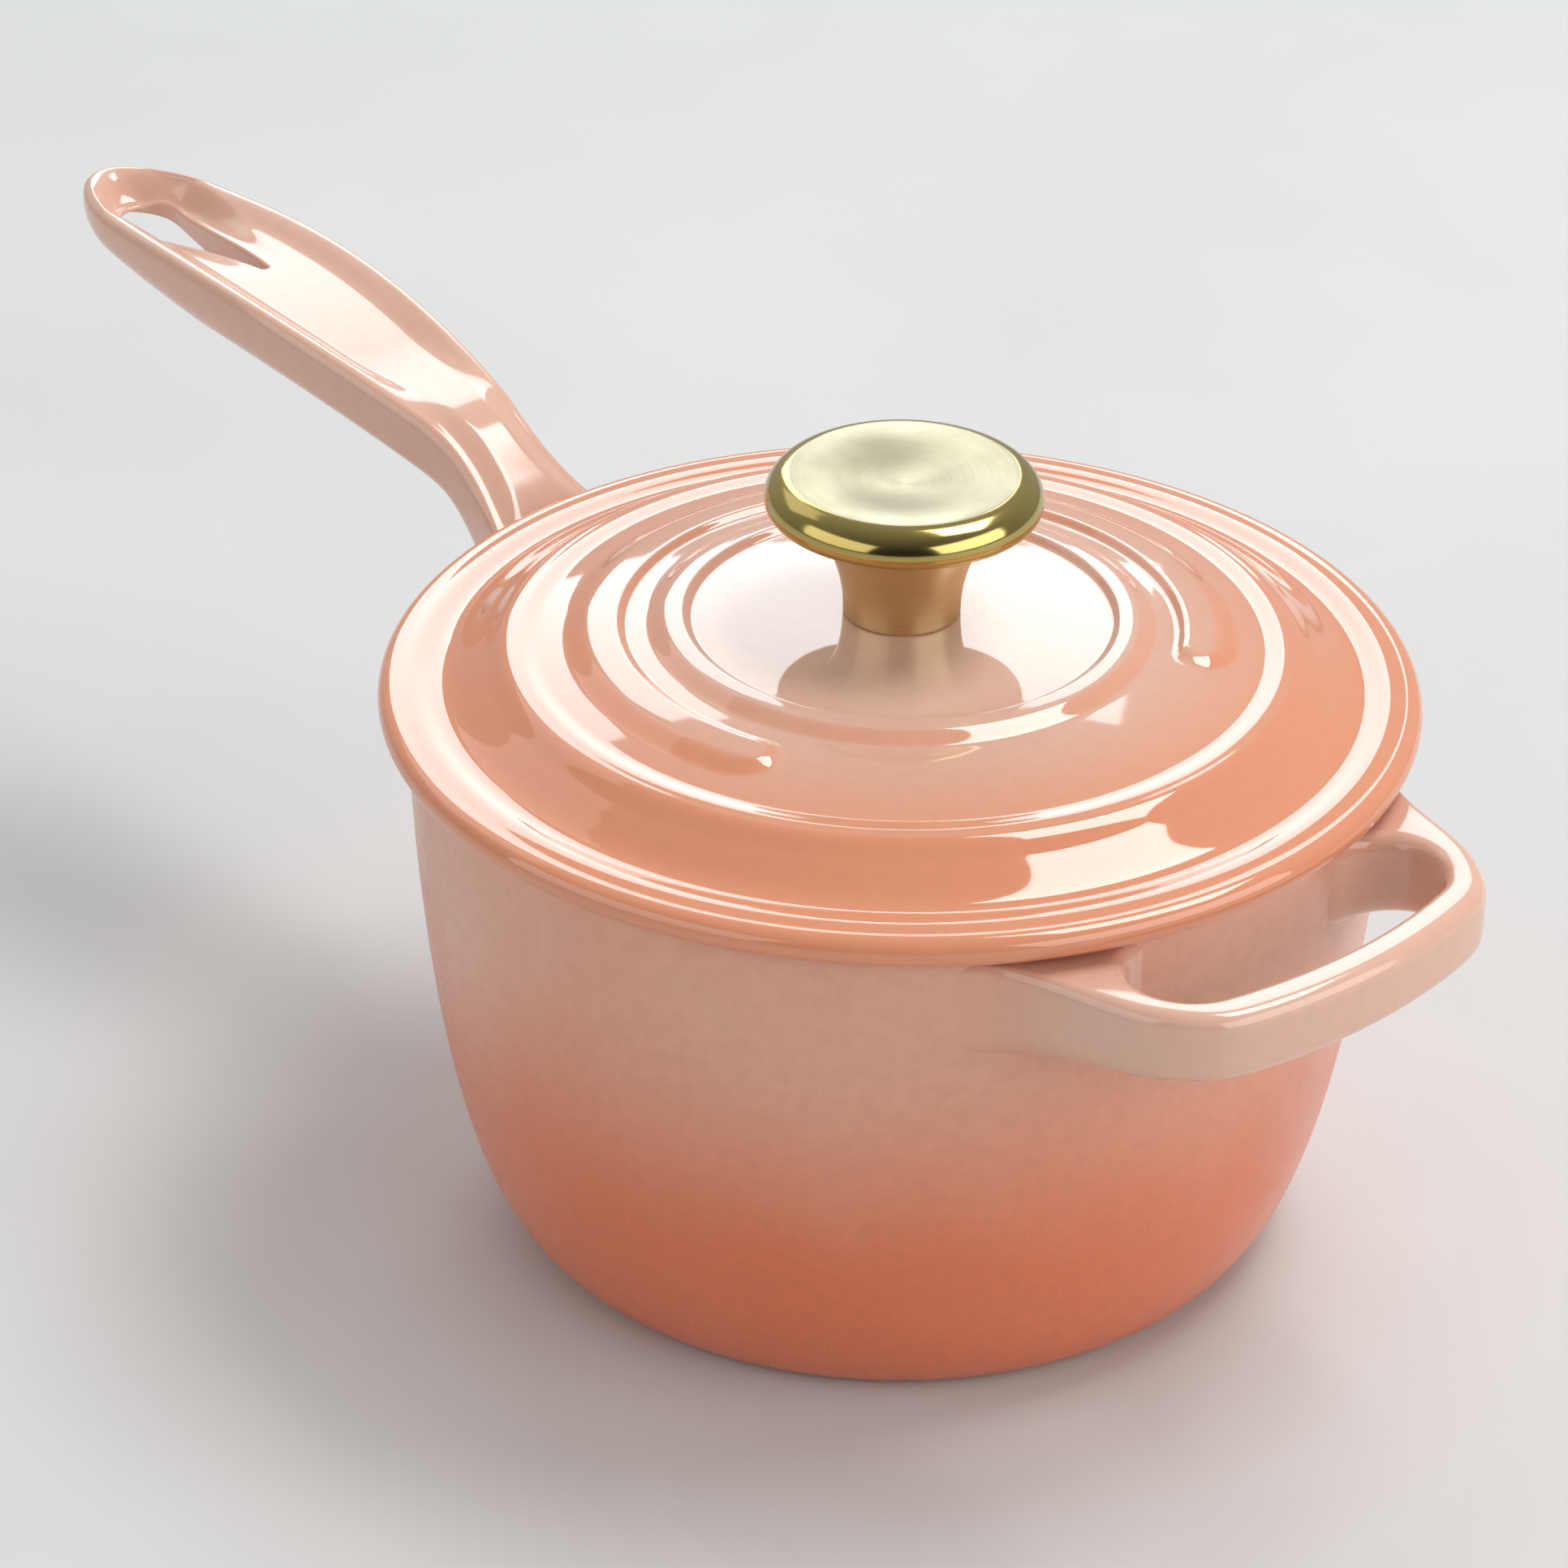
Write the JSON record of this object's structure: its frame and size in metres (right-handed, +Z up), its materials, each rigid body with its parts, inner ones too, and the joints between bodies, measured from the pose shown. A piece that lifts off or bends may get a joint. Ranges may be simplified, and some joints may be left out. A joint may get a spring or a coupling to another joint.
{
  "type": "saucepan with lid",
  "caption": "Enamelled cast-iron saucepan with a channelled long handle, a bow-shaped helper handle, a ringed lid and a gold metal knob.",
  "frame": {"origin": "on the pan's axis, at the underside of its flat base", "axes": "+Z up along the pan's axis, long handle towards -X, helper handle towards +X"},
  "size_m": [0.335, 0.178, 0.141],
  "materials": {
    "coral_enamel": "gloss",
    "peach_enamel": "gloss",
    "sand_enamel": "gloss",
    "gold_metal": "satin",
    "brass_bush": "satin",
    "plain_steel": "satin"
  },
  "bodies": {
    "pan": {"pan_body": "coral_enamel", "pan_lining": "sand_enamel", "long_handle": "peach_enamel", "helper_handle": "peach_enamel"},
    "lid": {"lid_shell": "coral_enamel", "lid_lining": "sand_enamel", "knob_cap": "gold_metal", "knob_neck": "gold_metal", "knob_insert": "brass_bush"},
    "washer": {"screw_washer": "plain_steel"},
    "screw": {"knob_screw": "plain_steel"}
  },
  "joints": [
    {"name": "lid_lift", "type": "slide", "parent": "pan", "child": "lid", "axis": [0, 0, 1], "range_m": [0, 0.12]},
    {"name": "screw_draw", "type": "slide", "parent": "lid", "child": "washer", "axis": [0, 0, -1], "range_m": [0, 0.009]},
    {"name": "screw_turn", "type": "hinge", "parent": "washer", "child": "screw", "pos_m": [0, 0, 0.11], "axis": [0, 0, -1], "range_deg": [0, 3240]}
  ],
  "couplings": [
    {"joint": "screw_turn", "follows": "screw_draw", "rad_per_m": 6283}
  ]
}
